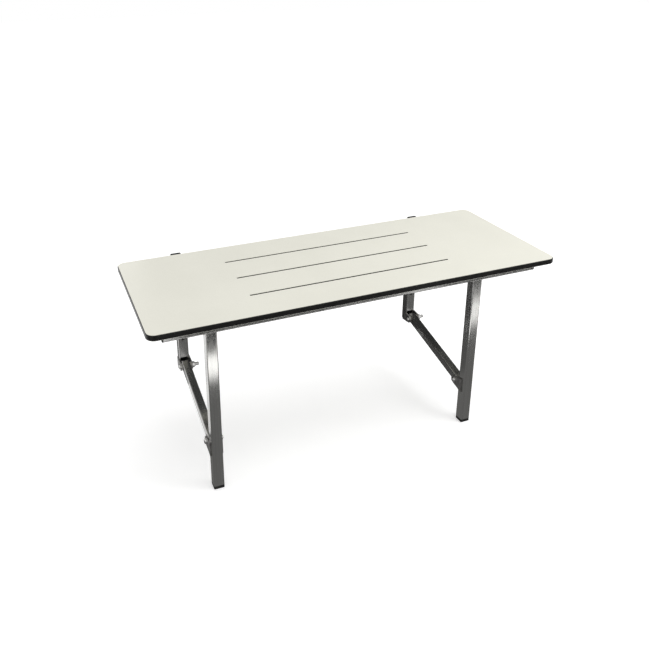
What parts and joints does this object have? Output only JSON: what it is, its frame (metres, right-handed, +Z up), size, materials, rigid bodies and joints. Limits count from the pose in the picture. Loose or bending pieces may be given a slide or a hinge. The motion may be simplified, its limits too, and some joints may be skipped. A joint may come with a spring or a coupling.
{
  "type": "fold-up shower bench seat",
  "caption": "Wall-hinged shower bench with a slotted laminate seat, square-tube frame, folding front legs and diagonal struts.",
  "frame": {"origin": "in the wall plane, midway between the four wall fixing holes", "axes": "+X along the seat to the right, +Y into the wall, +Z up"},
  "size_m": [0.96, 0.4075, 0.476],
  "materials": {
    "laminate": "fine satin texture, warm white",
    "dark_core": "satin black, milled",
    "stainless_tube": "brushed along the tube",
    "stainless_plate": "laser cut, brushed flat",
    "fastener": "bright rolled stainless",
    "black_cap": "moulded, fine grain",
    "rubber_foot": "matte moulded rubber",
    "nylon": "natural nylon"
  },
  "bodies": {
    "wall_frame": {"left_post": "stainless_tube", "left_post_top_cap": "black_cap", "left_post_bottom_cap": "black_cap", "left_hinge_plates": "stainless_plate", "left_strut_plates": "stainless_plate", "right_post": "stainless_tube", "right_post_top_cap": "black_cap", "right_post_bottom_cap": "black_cap", "right_hinge_plates": "stainless_plate", "right_strut_plates": "stainless_plate", "hinge_bolts": "fastener", "strut_wall_bolts": "fastener", "wall_pivot_nuts": "fastener", "hinge_spacers": "stainless_tube", "hinge_washers": "nylon", "strut_wall_washers": "nylon"},
    "seat": {"seat_core": "dark_core", "top_laminate": "laminate", "bottom_laminate": "laminate", "front_rail": "stainless_tube", "rear_rail": "stainless_tube", "front_rail_left_cap": "black_cap", "front_rail_right_cap": "black_cap", "rear_rail_left_cap": "black_cap", "rear_rail_right_cap": "black_cap", "seat_screws": "fastener", "left_cross_tube": "stainless_tube", "left_hinge_lugs": "stainless_plate", "left_leg_hanger": "stainless_tube", "left_hanger_plug": "black_cap", "right_cross_tube": "stainless_tube", "right_hinge_lugs": "stainless_plate", "right_leg_hanger": "stainless_tube", "right_hanger_plug": "black_cap"},
    "left_leg_body": {"left_leg": "stainless_tube", "left_foot": "rubber_foot", "left_leg_top_cap": "black_cap", "left_leg_top_plates": "stainless_plate", "left_leg_strut_plates": "stainless_plate", "left_leg_bolts": "fastener", "left_leg_nuts": "fastener", "left_leg_washers": "nylon"},
    "left_strut_body": {"left_strut": "stainless_tube", "left_strut_rear_plug": "black_cap", "left_strut_front_plug": "black_cap"},
    "right_leg_body": {"right_leg": "stainless_tube", "right_foot": "rubber_foot", "right_leg_top_cap": "black_cap", "right_leg_top_plates": "stainless_plate", "right_leg_strut_plates": "stainless_plate", "right_leg_bolts": "fastener", "right_leg_nuts": "fastener", "right_leg_washers": "nylon"},
    "right_strut_body": {"right_strut": "stainless_tube", "right_strut_rear_plug": "black_cap", "right_strut_front_plug": "black_cap"}
  },
  "joints": [
    {"name": "seat_fold", "type": "hinge", "parent": "wall_frame", "child": "seat", "pos_m": [0, -0.0315, 0.144], "axis": [-1, 0, 0], "range_deg": [0, 90]},
    {"name": "left_leg_fold", "type": "hinge", "parent": "seat", "child": "left_leg_body", "pos_m": [-0.332, -0.26842, 0.087], "axis": [-1, 0, 0], "range_deg": [-90, 0]},
    {"name": "left_strut_fold", "type": "hinge", "parent": "wall_frame", "child": "left_strut_body", "pos_m": [-0.332, -0.04004, -0.1445], "axis": [-1, 0, 0], "range_deg": [0, 90]},
    {"name": "right_leg_fold", "type": "hinge", "parent": "seat", "child": "right_leg_body", "pos_m": [0.332, -0.26842, 0.087], "axis": [-1, 0, 0], "range_deg": [-90, 0]},
    {"name": "right_strut_fold", "type": "hinge", "parent": "wall_frame", "child": "right_strut_body", "pos_m": [0.332, -0.04004, -0.1445], "axis": [-1, 0, 0], "range_deg": [0, 90]}
  ],
  "couplings": [
    {"joint": "left_leg_fold", "follows": "seat_fold", "ratio": -1},
    {"joint": "left_strut_fold", "follows": "seat_fold", "ratio": 1},
    {"joint": "right_leg_fold", "follows": "seat_fold", "ratio": -1},
    {"joint": "right_strut_fold", "follows": "seat_fold", "ratio": 1}
  ]
}
